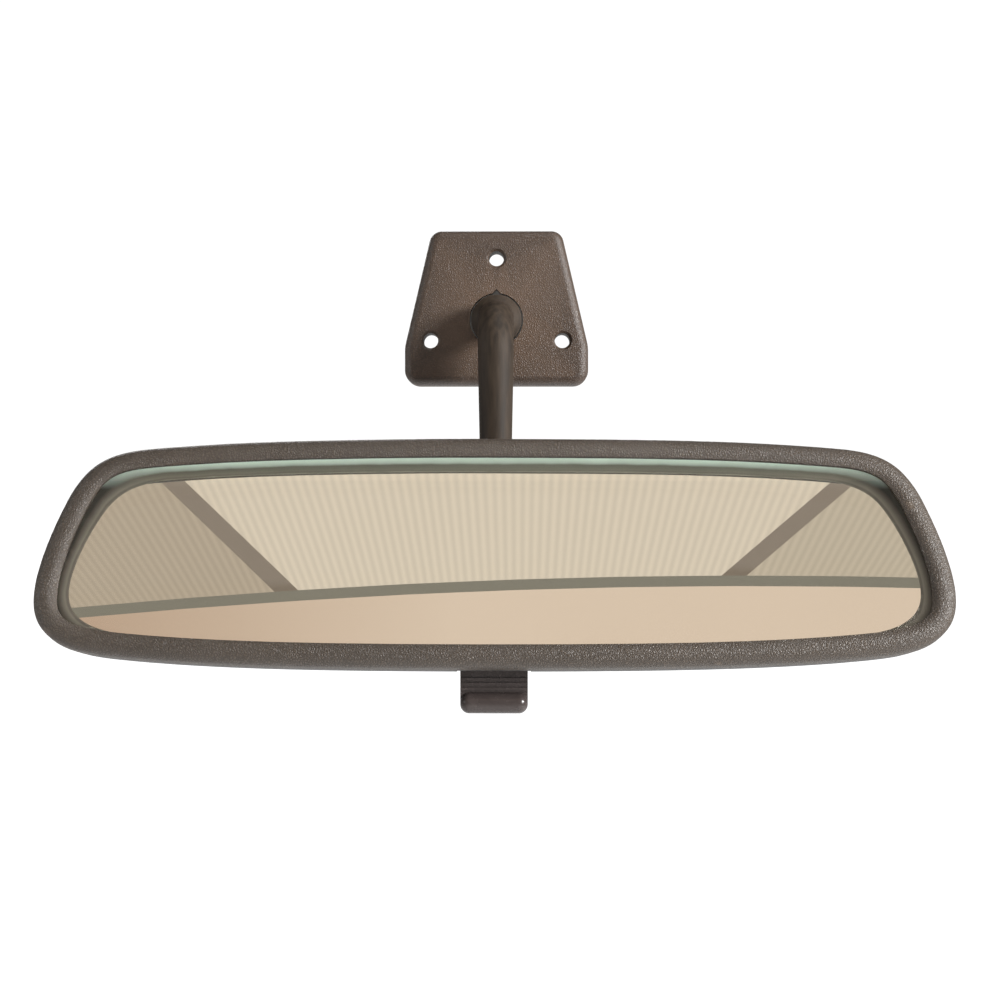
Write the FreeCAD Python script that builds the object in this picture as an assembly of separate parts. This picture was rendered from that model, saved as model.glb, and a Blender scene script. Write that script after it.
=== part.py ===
import FreeCAD, Part
import math
import os

# Interior rearview mirror for a car, day/night prism type, roof-header mounted.
# Millimetres.  +Z up, the glass looks towards -Y.
# Origin: on the back face of the base, on the axis the arm swivels about.

V = FreeCAD.Vector
AXIS_X = V(1, 0, 0)
AXIS_Y = V(0, 1, 0)

# ---------------------------------------------------------------- base
base_bottom_half = 26.8      # half width of the straight lower part
base_top_half = 18.9         # half width along the top edge
base_top = 26.1              # height of the top edge above the swivel axis
base_bottom = -19.0          # the bottom edge, below the swivel axis
base_knee = -7.6             # where the sides start to lean inwards
base_depth = 8.5             # how far the cover stands off the header
base_wall = 2.0
base_edge_round = 2.6        # rounding of the front edge
base_low_round = 4.4         # corner roundings of the outline
base_knee_round = 12.0
base_top_round = 3.6
screw_x = base_bottom_half - 7.6   # lower pair of screw holes, either side
screw_low_z = base_bottom + 13.0
screw_top_z = base_top - 8.2
screw_hole_r = 2.2
screw_mouth_r = screw_hole_r + 0.7
screw_boss_r = screw_hole_r + 1.4
shoulder_r = screw_boss_r + 1.0    # thicker root of each screw boss
shoulder_skin = 1.0          # the root stops this far behind the front face
collar_gap = 0.45            # groove between the collar and the cover
notch_width = 3.2            # assembly notch above the collar
notch_height = 1.2
notch_root = 0.6             # the notch's base lies this far inside the opening

# ---------------------------------------------------------------- swivel
pin_r = 3.5                  # steel root pin
collar_r = pin_r + 3.85      # round foot of the arm
run_gap = 0.05               # running clearance, radial
clip_thick = 0.8
clip_r = pin_r + 1.8
clip_mouth = 1.6             # half width of the clip's open side
clip_land = 0.6              # metal left behind the clip's groove
spring_height = 1.2
disc_eye_r = pin_r + 0.15
disc_rim_r = pin_r + 2.7
disc_leaf = 0.4
washer_thick = 0.8
washer_r = pin_r + 3.1
plate_thick = 1.6
plate_gap = 0.2              # plate to the inside of the cover
boss_gap = 0.1               # plate to the screw bosses
bush_r = pin_r + 1.5
bush_flange = 0.8
flange_r = collar_r - 0.15
pin_embed = 6.0              # how far the pin is moulded into the arm
pin_tail = 0.3               # the pin stops this far short of the header
clip_groove_r = pin_r - 0.8

# ---------------------------------------------------------------- arm
arm_root_r = 5.1
arm_foot_r = arm_root_r - 0.9
collar_proud = 0.3           # the collar stands off the cover's face
collar_chamfer = 0.9
collar_rise = 2.2            # height of the cone from collar to arm
elbow_r = 11.0               # bend radius of the centre line
drop_y = -24.0               # the straight drop runs down at this depth
heel_r = 12.0                # lower bend radius
stud_rise = 10.0             # degrees the stud rises towards the arm
ball_y = -47.0
ball_z = -70.1
ball_r = 6.5
neck_r = ball_r - 3.3
stem_end = 10.5              # the moulded stem stops this far from the ball
stud_tail_r = neck_r - 0.7
stud_tail = 3.5              # length of the tail moulded into the stem

# ---------------------------------------------------------------- ball socket
cup_gap = 0.05
cup_r = ball_r + 1.4
socket_r = cup_r + 1.9
front_cup_angle = 58.0       # degrees either side of the socket axis
cup_cone = 62.0              # cone cleared round the neck, rear cup
bracket_cone = 60.0          # cone cleared round the neck, bracket
cone_reach = cup_r + 6.1     # length of those cones, past the socket
rear_cup_lip = 0.9
ring_bore_gap = 0.1          # pressure ring to the bracket's bore
spring_eye_r = 3.0
spring_leaf = 0.35
spring_rim_r = cup_r - 0.5
press_front = -cup_r - 0.9    # pressure ring, front and back faces
press_back = -cup_r + 2.4

# ---------------------------------------------------------------- head
lean = 16.0                  # degrees the head leans back as set
head_w = 240.0
head_h = 62.0
head_mid_z = -1.0            # middle of the head, relative to the ball
rim_width = 6.4
glass_front = -socket_r - 9.2      # room for the clamp, the foam and the prism
rim_front = glass_front - 2.0      # highest line of the rim bead
rim_back = glass_front + 4.8
rim_skirt = 1.5              # wall of the rim outside the case tongue
rim_chamfer = 0.25           # small bevel at the back edge of the rim
rim_chamfer_y = 1.2
bead_side = 1.6              # the straight side of the bead stops behind the glass face
bead_shoulder = 0.95         # outer quarter of the bead, in and back
bead_crown = 3.1             # highest line, in from the outline
bead_inner = 5.1             # inner quarter of the bead, in from the outline
bead_fall = 0.3              # and back from its highest line
lip_thick = 0.5              # flat inner edge of the lip
lip_gap = 0.05               # lip to the glass
window_lift = 0.9            # the lip is cut back by this along the top
window_drop = 0.5            # and by this along the bottom
glass_top_t = 6.8            # prism thickness, top edge
glass_bottom_t = 2.8         # prism thickness, bottom edge
glass_inset = 3.5            # glass edge, in from the outline
silver_t = 0.2
silver_side = 8.7            # silver edge, in from the outline at each end
silver_top = 8.2             # at the top
silver_bottom = 6.3          # and at the bottom
foam_t = 0.8
foam_inset = 9.0
foam_limit = rim_back + 6.0  # deeper than any part of the prism
case_back = 8.0              # back of the case, behind the ball
case_step = 0.3              # the case is this much smaller than the rim
case_round = 22.0            # how far the case closes in towards its back
case_back_angle = 82.0
case_wall = 2.2
tongue_gap = 0.1
pocket_gap = 0.3
pocket_deep = 5.0
tongue_lap = 0.5             # the tongue runs this far into the case body
tongue_front = glass_front + 1.0
ledge_t = 1.5                # ledge the glass sits on
ledge_inset = silver_bottom - 0.2  # the ledge bears on bare glass, clear of the silver
neck_hole_r = ball_r + 6.0   # hole in the back of the case
neck_hole_z = 3.8

# ---------------------------------------------------------------- day/night movement
hinge_y = -4.0
hinge_z = head_h / 2 - 13.35       # below the top of the case
hinge_pin_r = 1.5
hinge_pin_half = 23.5
bracket_half = 20.0
plate_half_h = 13.0
arm_x_inner = 10.0           # the two hinge arms of the bracket
arm_x_outer = 17.5
arm_low = 9.0
ear_r = 3.3
screw_boss_len = 5.0
clamp_boss_r = 2.6
clamp_half_w = 15.5
clamp_half_h = 11.5
clamp_t = 1.2
clamp_round = 3.0
clamp_screw_x = 12.5
clamp_screw_z = 8.5
clamp_screw_r = 1.2
clamp_hole_r = 1.3
clamp_head_r = 2.1
clamp_head_t = 0.9
clamp_shank = 4.0
clamp_pilot = clamp_shank + 0.2    # depth of the hole each screw goes into
drive_depth = 0.4            # screwdriver slot
drive_half = 0.25
drive_half_len = 1.3
bracket_front = -socket_r
bracket_t = 1.8
pivot_y = -8.0
pivot_z = -head_h / 2 + 7.35       # above the bottom of the case
pivot_pin_r = 1.2
pivot_pin_half = 12.4
barrel_r = 2.2
crank = 4.2                  # crank pin above the lever pivot
crank_swing = 20.0           # degrees either side of upright
crank_pin_r = 1.0
slot_gap = 0.15
fork_leg = 1.6               # thickness of each leg of the bracket's fork
fork_half = 3.5
fork_reach = 0.5             # the legs end this far below the crank pin
fork_mouth = 2.4             # the fork's slot runs this far above the crank pin
fork_slot_half = 4.0
fork_root = 1.0              # the tongue overlaps the plate by this
cheek_inner = 4.2
cheek_outer = 6.2
hinge_lug_inner = 18.5
hinge_lug_outer = 22.5
pivot_lug_inner = 9.7
pivot_lug_outer = 12.0
lug_round = 3.4
lug_end = case_back + 1.0    # the lugs run into the back wall
pivot_lug_r = 2.8
pivot_lug_low = 8.0
screw_pillar_r = 2.4         # pillars for the detent screws
slot_side = 0.8              # clearance beside the lever in the case
slot_front = -13.0
slot_back = -3.0
slot_top = pivot_z - 1.95    # upper end of the slot in the bottom of the case
slot_low = -head_h           # well clear of the case
tab_width = 17.8
tab_tip = pivot_z - 18.1    # lowest point of the tab
tab_t = 3.0
tab_roll_r = 2.8
tab_roll_round = 2.4
rib_deep = 0.35              # grip ribs across the tab
rib_wide = 0.5
rib_pitch = 1.3
rib_count = 4
rib_top = 8.6                # first rib, below the pivot
cheek_r = 1.8
cam_r = 4.1
cam_inner = 6.6
cam_outer = 8.4
leaf_back = -3.1             # detent leaf, the face towards the case
leaf_t = 0.5
leaf_top = -socket_r - 0.6
leaf_bar_bottom = leaf_top - 5.1
leaf_leg_end = 2.0           # the legs end this far below the pivot
leaf_hole_gap = 0.1
leaf_screw_x = 6.0
leaf_screw_z = leaf_top - 2.3
leaf_screw_r = 1.0
leaf_head_r = leaf_screw_r + 0.9
leaf_head_t = 0.8
leaf_shank = 5.1
leaf_pilot = leaf_shank + 0.8      # depth of the hole each screw goes into


def ring(outer, inner, y_from, y_to, x=0.0, z=0.0):
    """Flat ring about an axis along Y, between two depths."""
    near = min(y_from, y_to)
    length = abs(y_to - y_from)
    body = Part.makeCylinder(outer, length, V(x, near, z), AXIS_Y)
    if inner > 0:
        body = body.cut(Part.makeCylinder(inner, length, V(x, near, z), AXIS_Y))
    return body


def rod(r, half, y, z):
    """Round rod along X, centred on the middle plane."""
    return Part.makeCylinder(r, 2 * half, V(-half, y, z), AXIS_X)


def block(x0, x1, y0, y1, z0, z1):
    return Part.makeBox(x1 - x0, y1 - y0, z1 - z0, V(x0, y0, z0))


def fuse(first, *others):
    whole = first
    for other in others:
        whole = whole.fuse(other)
    return whole.removeSplitter()


def turned(profile, centre_z=0.0):
    """Solid turned about the Y axis from (radius, y) corners."""
    corners = [V(r, y, centre_z) for r, y in profile]
    face = Part.Face(Part.makePolygon(corners + corners[:1]))
    return face.revolve(V(0, 0, centre_z), AXIS_Y, 360)


def rounded(points, y):
    """Closed wire in a plane facing Y from (x, z, corner radius) corners."""
    edges = []
    cuts = []
    count = len(points)
    for i in range(count):
        x, z, r = points[i]
        here = V(x, y, z)
        before = V(points[i - 1][0], y, points[i - 1][1])
        after = V(points[(i + 1) % count][0], y, points[(i + 1) % count][1])
        a = (before - here).normalize()
        b = (after - here).normalize()
        half = a.getAngle(b) / 2
        reach = r / math.tan(half)
        bisector = (a + b).normalize()
        middle = here + bisector * (r / math.sin(half) - r)
        cuts.append((here + a * reach, middle, here + b * reach))
    for i in range(count):
        start, middle, end = cuts[i]
        edges.append(Part.Arc(start, middle, end).toShape())
        edges.append(Part.makeLine(end, cuts[(i + 1) % count][0]))
    return Part.Wire(edges)


def base_outline(inset, y):
    """The cover's outline: straight foot, sides leaning in, rounded corners."""
    side = base_bottom_half - inset
    top = base_top_half - inset
    points = [
        (-side, base_bottom + inset, base_low_round - inset / 2),
        (side, base_bottom + inset, base_low_round - inset / 2),
        (side, base_knee, base_knee_round),
        (top, base_top - inset, base_top_round - inset / 2),
        (-top, base_top - inset, base_top_round - inset / 2),
        (-side, base_knee, base_knee_round),
    ]
    return rounded(points, y)


def base_prism(inset, y_from, y_to):
    face = Part.Face(base_outline(inset, y_from))
    return face.extrude(V(0, y_to - y_from, 0))


screw_places = ((-screw_x, screw_low_z), (screw_x, screw_low_z), (0.0, screw_top_z))

# the stack on the root pin, read from the header forwards
clip_back = -pin_tail - clip_land
clip_front = clip_back - clip_thick
spring_front = clip_front - spring_height
washer_front = spring_front - washer_thick
plate_front = washer_front - plate_thick
collar_back = plate_front - bush_flange
opening_r = collar_r + collar_gap


def base_cover():
    body = base_prism(0.0, 0.0, -base_depth)
    front = [e for e in body.Edges if e.BoundBox.YMax < -base_depth + 0.01]
    body = body.makeFillet(base_edge_round, front)
    body = body.cut(base_prism(base_wall, 0.0, collar_back))
    for x, z in screw_places:
        shoulder = ring(shoulder_r, 0, plate_front, -base_depth + shoulder_skin, x, z)
        body = body.fuse(shoulder).fuse(ring(screw_boss_r, 0, 0.0, plate_front, x, z))
    for x, z in screw_places:
        body = body.cut(ring(screw_hole_r, 0, 1.0, -base_depth - 1, x, z))
        mouth = screw_mouth_r - screw_hole_r
        cone = Part.makeCone(screw_mouth_r, screw_hole_r, mouth, V(x, -base_depth, z), AXIS_Y)
        body = body.cut(cone)
    body = body.cut(ring(opening_r, 0, 0.0, -base_depth - 1))
    low = opening_r - notch_root
    corners = [V(-notch_width / 2, 0, low), V(notch_width / 2, 0, low)]
    corners.append(V(0, 0, opening_r + notch_height))
    notch = Part.Face(Part.makePolygon(corners + corners[:1])).extrude(V(0, -base_depth - 1, 0))
    return body.cut(notch).removeSplitter()


def back_plate():
    body = base_prism(base_wall + plate_gap, washer_front, plate_front)
    for x, z in screw_places:
        body = body.cut(ring(screw_boss_r + boss_gap, 0, 0.0, -base_depth, x, z))
    return body.cut(ring(bush_r, 0, 0.0, -base_depth))


def swivel_bush():
    sleeve = ring(bush_r, pin_r + run_gap, washer_front, plate_front)
    flange = ring(flange_r, pin_r + run_gap, plate_front, collar_back)
    return fuse(sleeve, flange)


def friction_washer():
    return ring(washer_r, pin_r + run_gap, spring_front, washer_front)


def disc_spring():
    """Coned washer: its rim bears on the friction washer, its eye on the clip."""
    profile = [
        (disc_eye_r, clip_front),
        (disc_eye_r, clip_front - disc_leaf),
        (disc_rim_r, spring_front),
        (disc_rim_r, spring_front + disc_leaf),
    ]
    return turned(profile)


def swivel_pin():
    body = ring(pin_r, 0, -pin_tail, collar_back - pin_embed)
    return body.cut(ring(pin_r + 1, clip_groove_r, clip_back, clip_front))


def retaining_clip():
    body = ring(clip_r, clip_groove_r, clip_back, clip_front)
    return body.cut(block(-clip_mouth, clip_mouth, -base_depth, 0, -2 * clip_r, 0))


def arm_path():
    """Corner points of the arm's centre line, in the middle plane."""
    rise = math.radians(stud_rise)
    turn = math.pi / 2 - rise
    forward = heel_r * (1 - math.cos(turn))
    stud = (drop_y - ball_y - forward) / math.cos(rise)
    heel_top = ball_z + stud * math.sin(rise) + heel_r * math.sin(turn)
    return turn, stud, heel_top


def bend(r, centre_y, centre_z, radius, start, sweep):
    """Round bar bent in the middle plane: start and sweep in degrees from +Y towards +Z."""
    a = math.radians(start)
    y = centre_y + radius * math.cos(a)
    z = centre_z + radius * math.sin(a)
    along = V(0, -math.sin(a), math.cos(a))
    disc = Part.Face(Part.Wire(Part.makeCircle(r, V(0, y, z), along)))
    return disc.revolve(V(0, centre_y, centre_z), AXIS_X, sweep)


def stud_axis():
    rise = math.radians(stud_rise)
    return V(0, math.cos(rise), math.sin(rise))


def arm_stem():
    turn, stud, heel_top = arm_path()
    collar_front = -base_depth - collar_proud
    elbow_y = drop_y + elbow_r
    foot = turned([
        (0, collar_back), (collar_r, collar_back), (collar_r, collar_front),
        (collar_r - collar_chamfer, collar_front - collar_chamfer),
        (arm_root_r, collar_front - collar_rise), (0, collar_front - collar_rise),
    ])
    root = Part.makeCylinder(arm_root_r, collar_back - elbow_y, V(0, elbow_y, 0), AXIS_Y)
    elbow = bend(arm_root_r, elbow_y, -elbow_r, elbow_r, 90, 90)
    length = -elbow_r - heel_top
    drop = Part.makeCone(arm_foot_r, arm_root_r, length, V(0, drop_y, heel_top), V(0, 0, 1))
    heel = bend(arm_foot_r, drop_y - heel_r, heel_top, heel_r, 0, -math.degrees(turn))
    tip = V(0, ball_y, ball_z) + stud_axis() * stem_end
    nose = Part.makeCylinder(arm_foot_r, stud - stem_end, tip, stud_axis())
    body = fuse(foot, root, elbow, drop, heel, nose)
    body = body.cut(swivel_pin())
    return body.cut(ball_stud())


def ball_stud():
    """Steel ball with its neck; the ribbed tail is moulded into the stem."""
    centre = V(0, ball_y, ball_z)
    out = stud_axis()
    ball = Part.makeSphere(ball_r, centre)
    neck = Part.makeCylinder(neck_r, stem_end, centre, out)
    tail = Part.makeCylinder(stud_tail_r, stud_tail, centre + out * stem_end, out)
    return fuse(ball, neck, tail)


# ---------------------------------------------------------------- head outline
# The right half of the head's outline, from the middle of the top edge round
# to the middle of the bottom edge: fractions of half the width and height.
# The top and bottom edges bow gently, the sides splay out downwards and the
# widest place is a third of the way up.
half_stations = (
    (0.000, 1.000), (0.330, 0.990), (0.590, 0.957), (0.745, 0.915), (0.842, 0.845),
    (0.900, 0.695), (0.936, 0.475), (0.970, 0.155), (0.992, -0.140), (1.000, -0.370),
    (0.993, -0.565), (0.965, -0.722), (0.915, -0.830), (0.820, -0.900), (0.640, -0.954),
    (0.330, -0.992), (0.000, -1.000),
)


def closed_curve(points):
    curve = Part.BSplineCurve()
    curve.interpolate(points, PeriodicFlag=True)
    return curve


def head_curve(less_wide, less_high):
    """Outline with its half width and half height each made smaller."""
    half_w = head_w / 2 - less_wide
    half_h = head_h / 2 - less_high
    right = [V(x * half_w, 0, z * half_h + head_mid_z) for x, z in half_stations]
    left = [V(-p.x, 0, p.z) for p in reversed(right[1:-1])]
    return closed_curve(right + left)


def shrunk_outline(shrink, y):
    wire = Part.Wire(head_curve(shrink, shrink).toShape())
    wire.translate(V(0, y, 0))
    return wire


def head_outline(inset, y):
    """Outline moved in by an even distance along its normal."""
    curve = head_curve(0.0, 0.0)
    first, last = curve.FirstParameter, curve.LastParameter
    steps = 72
    points = []
    for i in range(steps):
        u = first + (last - first) * i / steps
        along = curve.tangent(u)[0]
        inward = V(along.z, 0, -along.x).normalize()
        here = curve.value(u)
        if inward.dot(V(0, 0, head_mid_z) - here) < 0:
            inward = -inward
        points.append(here + inward * inset + V(0, y, 0))
    return Part.Wire(closed_curve(points).toShape())


def head_prism(inset, y_from, y_to):
    face = Part.Face(head_outline(inset, y_from))
    return face.extrude(V(0, y_to - y_from, 0))


def glass_back(z):
    """Depth of the silvered face at a height: the prism is thin at the bottom."""
    reach = head_h - 2 * glass_inset
    up = (z - head_mid_z + reach / 2) / reach
    return glass_front + glass_bottom_t + up * (glass_top_t - glass_bottom_t)


def slant_slab(near, far):
    """Slab between two planes parallel to the silvered face; None is the glass front."""
    z0 = head_mid_z - head_h
    z1 = head_mid_z + head_h
    back = [V(-head_w, glass_back(z0) + far, z0), V(-head_w, glass_back(z1) + far, z1)]
    if near is None:
        front = [V(-head_w, glass_front, z1), V(-head_w, glass_front, z0)]
    else:
        front = [V(-head_w, glass_back(z1) + near, z1), V(-head_w, glass_back(z0) + near, z0)]
    corners = back + front
    face = Part.Face(Part.makePolygon(corners + corners[:1]))
    return face.extrude(V(2 * head_w, 0, 0))


def place_head(shape):
    """From the head's own frame (origin at the ball) to where it is set."""
    moved = shape.copy()
    moved.rotate(V(0, 0, 0), AXIS_X, -lean)
    moved.translate(V(0, ball_y, ball_z))
    return moved


def prism_glass():
    deep = glass_front + glass_top_t + 1.0
    block_of_glass = head_prism(glass_inset, glass_front, deep)
    return block_of_glass.common(slant_slab(None, 0.0))


def silver_backing():
    wire = Part.Wire(head_curve(silver_side, (silver_top + silver_bottom) / 2).toShape())
    wire.translate(V(0, glass_front, (silver_bottom - silver_top) / 2))
    sheet = Part.Face(wire).extrude(V(0, foam_limit - glass_front, 0))
    return sheet.common(slant_slab(0.0, silver_t))


def foam_pad():
    sheet = head_prism(foam_inset, glass_front, foam_limit)
    return sheet.common(slant_slab(silver_t, silver_t + foam_t))


def front_rim():
    """Rounded bead round the glass, its lip in front of the glass edge."""
    lip_back = glass_front - lip_gap
    shoulder_y = rim_front + bead_shoulder
    side_y = glass_front + bead_side
    crown_y = rim_front + bead_fall
    path = head_outline(0.0, rim_back)
    start = path.Edges[0].Vertexes[0].Point
    down = V(0, 0, -1)

    def at(inset, y):
        return V(start.x, y, start.z) + down * inset

    lip_edge = at(rim_width, lip_back - lip_thick)
    edges = [
        Part.makeLine(at(rim_chamfer, rim_back), at(0, rim_back - rim_chamfer_y)),
        Part.makeLine(at(0, rim_back - rim_chamfer_y), at(0, side_y)),
        Part.Arc(at(0, side_y), at(bead_shoulder, shoulder_y), at(bead_crown, rim_front)).toShape(),
        Part.Arc(at(bead_crown, rim_front), at(bead_inner, crown_y), lip_edge).toShape(),
        Part.makeLine(lip_edge, at(rim_width, lip_back)),
        Part.makeLine(at(rim_width, lip_back), at(rim_skirt, lip_back)),
        Part.makeLine(at(rim_skirt, lip_back), at(rim_skirt, rim_back)),
        Part.makeLine(at(rim_skirt, rim_back), at(rim_chamfer, rim_back)),
    ]
    sweep = Part.BRepOffsetAPI.MakePipeShell(path)
    sweep.setBiNormalMode(AXIS_Y)
    sweep.add(Part.Wire(edges))
    sweep.build()
    sweep.makeSolid()
    window = head_prism(rim_width, rim_front - 1, rim_back)
    window.translate(V(0, 0, window_lift))
    body = sweep.shape().cut(window)
    window.translate(V(0, 0, -window_lift - window_drop))
    return body.cut(window)


def case_loft(wall, y_start):
    """The rounded body of the case, `wall` inside its outer face."""
    wires = []
    steps = 7
    for i in range(steps):
        t = math.radians(case_back_angle * i / (steps - 1))
        y = y_start + (case_back - wall - y_start) * math.sin(t)
        shrink = case_step + wall + case_round * (1 - math.cos(t))
        wires.append(shrunk_outline(shrink, y))
    return Part.makeLoft(wires, True, False)


def housing_shell():
    outer = case_loft(0.0, rim_back)
    tongue_out = rim_skirt + tongue_gap
    tongue = head_prism(tongue_out, tongue_front, rim_back + tongue_lap)
    ledge_back = rim_back + ledge_t
    body = outer.fuse(tongue)
    body = body.cut(case_loft(case_wall, ledge_back))
    window = head_prism(ledge_inset, glass_front - 1, ledge_back + tongue_lap)
    pocket = head_prism(glass_inset - pocket_gap, glass_front - 1, rim_back + pocket_deep)
    body = body.cut(window).cut(pocket.common(slant_slab(rim_front, 0.0)))
    lugs = []
    for side in (-1, 1):
        x0, x1 = sorted((side * hinge_lug_inner, side * hinge_lug_outer))
        low, high = hinge_z - lug_round, hinge_z + lug_round
        lugs.append(block(x0, x1, hinge_y - lug_round, lug_end, low, high))
        x0, x1 = sorted((side * pivot_lug_inner, side * pivot_lug_outer))
        low, high = pivot_z - pivot_lug_low, pivot_z + pivot_lug_r
        lugs.append(block(x0, x1, pivot_y - pivot_lug_r, lug_end, low, high))
        pillar_x = side * leaf_screw_x
        lugs.append(ring(screw_pillar_r, 0, leaf_back, lug_end, pillar_x, leaf_screw_z))
    for lug in lugs:
        body = body.fuse(lug.common(outer))
    body = body.cut(rod(hinge_pin_r, hinge_pin_half, hinge_y, hinge_z))
    body = body.cut(rod(pivot_pin_r, pivot_pin_half, pivot_y, pivot_z))
    for side in (-1, 1):
        x = side * leaf_screw_x
        body = body.cut(ring(leaf_screw_r, 0, leaf_back, leaf_back + leaf_pilot, x, leaf_screw_z))
    body = body.cut(Part.makeCylinder(neck_hole_r, 20, V(0, 0, neck_hole_z), AXIS_Y))
    slot_half = tab_width / 2 + slot_side
    body = body.cut(block(-slot_half, slot_half, slot_front, slot_back, slot_low, slot_top))
    return body.removeSplitter()


def shell_ball(outer, inner):
    return Part.makeSphere(outer).cut(Part.makeSphere(inner))


def neck_cone(half_angle):
    """Room for the neck: a cone opening from the ball along the stud."""
    rise = math.radians(stud_rise + lean)
    out = V(0, math.cos(rise), math.sin(rise))
    wide = cone_reach * math.tan(math.radians(half_angle))
    return Part.makeCone(0.001, wide, cone_reach, V(0, 0, 0), out)


def socket_front_cup():
    wide = cone_reach * math.tan(math.radians(front_cup_angle))
    front = Part.makeCone(0.001, wide, cone_reach, V(0, 0, 0), V(0, -1, 0))
    return shell_ball(cup_r, ball_r + cup_gap).common(front)


def socket_rear_cup():
    cup = shell_ball(cup_r, ball_r + cup_gap)
    cup = cup.common(block(-cup_r, cup_r, -rear_cup_lip, cup_r, -cup_r, cup_r))
    return cup.cut(neck_cone(cup_cone))


def pressure_ring():
    """Dished ring that presses the front cup on to the ball."""
    body = ring(cup_r, 0, press_front, press_back)
    return body.cut(Part.makeSphere(cup_r + cup_gap))


def socket_spring():
    profile = [
        (spring_eye_r, bracket_front), (spring_eye_r, bracket_front + spring_leaf),
        (spring_rim_r, press_front), (spring_rim_r, press_front - spring_leaf),
    ]
    return turned(profile)


clamp_screw_places = (
    (-clamp_screw_x, -clamp_screw_z), (clamp_screw_x, -clamp_screw_z),
    (-clamp_screw_x, clamp_screw_z), (clamp_screw_x, clamp_screw_z),
)
clamp_front = bracket_front - clamp_t


def clamp_cap():
    wide, high = clamp_half_w, clamp_half_h
    body = block(-wide, wide, clamp_front, bracket_front, -high, high)
    corners = [e for e in body.Edges if e.BoundBox.YLength > clamp_t / 2]
    body = body.makeFillet(clamp_round, corners)
    for x, z in clamp_screw_places:
        body = body.cut(ring(clamp_hole_r, 0, rim_front, 0, x, z))
    return body.cut(ring(spring_eye_r, 0, rim_front, 0))


def clamp_screws():
    screws = []
    for x, z in clamp_screw_places:
        head_front = clamp_front - clamp_head_t
        head = ring(clamp_head_r, 0, head_front, clamp_front, x, z)
        shank = ring(clamp_screw_r, 0, clamp_front, bracket_front + clamp_shank, x, z)
        x0, x1 = x - drive_half_len, x + drive_half_len
        z0, z1 = z - drive_half, z + drive_half
        drive = block(x0, x1, rim_front, head_front + drive_depth, z0, z1)
        screws.append(fuse(head, shank).cut(drive))
    return Part.makeCompound(screws)


def crank_place(degrees):
    a = math.radians(degrees)
    return pivot_y + crank * math.sin(a), pivot_z + crank * math.cos(a)


def hinge_bracket():
    back = bracket_front + bracket_t
    plate = block(-bracket_half, bracket_half, bracket_front, back, -plate_half_h, plate_half_h)
    parts = [Part.makeSphere(socket_r), ring(socket_r, 0, bracket_front, 0)]
    boss_end = bracket_front + screw_boss_len
    for x, z in clamp_screw_places:
        parts.append(ring(clamp_boss_r, 0, bracket_front, boss_end, x, z))
    for side in (-1, 1):
        x0, x1 = sorted((side * arm_x_inner, side * arm_x_outer))
        parts.append(block(x0, x1, bracket_front, hinge_y, arm_low, hinge_z))
        parts.append(Part.makeCylinder(ear_r, x1 - x0, V(x0, hinge_y, hinge_z), AXIS_X))
    y, z = crank_place(-crank_swing)
    fork = crank_pin_r + slot_gap
    front_leg = y - fork - fork_leg
    back_leg = y + fork + fork_leg
    root = -plate_half_h + fork_root
    parts.append(block(-fork_half, fork_half, front_leg, back_leg, z - fork_reach, root))
    body = fuse(plate, *parts)
    half = fork_slot_half
    body = body.cut(block(-half, half, y - fork, y + fork, pivot_z, z + fork_mouth))
    body = body.cut(Part.makeSphere(cup_r + cup_gap))
    body = body.cut(ring(cup_r + ring_bore_gap, 0, bracket_front - 1, 0))
    body = body.cut(neck_cone(bracket_cone))
    body = body.cut(rod(hinge_pin_r + run_gap, hinge_pin_half, hinge_y, hinge_z))
    for x, z in clamp_screw_places:
        body = body.cut(ring(clamp_screw_r, 0, bracket_front, bracket_front + clamp_pilot, x, z))
    return body.removeSplitter()


def hinge_pin():
    return rod(hinge_pin_r, hinge_pin_half, hinge_y, hinge_z)


def lever_pivot_pin():
    return rod(pivot_pin_r, pivot_pin_half, pivot_y, pivot_z)


def upright_lever():
    """The lever with its tab hanging straight down; the crank is above the pivot."""
    half = tab_width / 2
    barrel = rod(barrel_r, half, pivot_y, pivot_z)
    low = tab_tip + tab_roll_r
    tab = block(-half, half, pivot_y - tab_t / 2, pivot_y + tab_t / 2, low, pivot_z)
    roll = rod(tab_roll_r, half, pivot_y - tab_roll_r + tab_t / 2, low)
    ends = [e for e in roll.Edges if e.BoundBox.XLength < 0.01]
    roll = roll.makeFillet(tab_roll_round, ends)
    pieces = [tab, roll]
    for side in (-1, 1):
        x0, x1 = sorted((side * cheek_inner, side * cheek_outer))
        y0, y1 = pivot_y - cheek_r, pivot_y + cheek_r
        cheek = block(x0, x1, y0, y1, pivot_z, pivot_z + crank)
        tip = Part.makeCylinder(cheek_r, x1 - x0, V(x0, pivot_y, pivot_z + crank), AXIS_X)
        x0, x1 = sorted((side * cam_inner, side * cam_outer))
        cam = Part.makeCylinder(cam_r, x1 - x0, V(x0, pivot_y, pivot_z), AXIS_X)
        pieces += [cheek, tip, cam]
    body = fuse(barrel, *pieces)
    groove = pivot_y - tab_t / 2 + rib_deep
    for i in range(rib_count):
        z = pivot_z - rib_top - rib_pitch * i
        body = body.cut(block(-half, half, rim_front, groove, z, z + rib_wide))
    body = body.cut(rod(pivot_pin_r + run_gap, pivot_pin_half, pivot_y, pivot_z))
    return body.cut(rod(crank_pin_r, cheek_outer, pivot_y, pivot_z + crank))


def swing_lever(shape):
    """Day position: the tab swung back, the crank forward."""
    swung = shape.copy()
    swung.rotate(V(0, pivot_y, pivot_z), AXIS_X, crank_swing)
    return swung


def dip_lever():
    return swing_lever(upright_lever())


def crank_pin():
    return swing_lever(rod(crank_pin_r, cheek_outer, pivot_y, pivot_z + crank))


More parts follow.
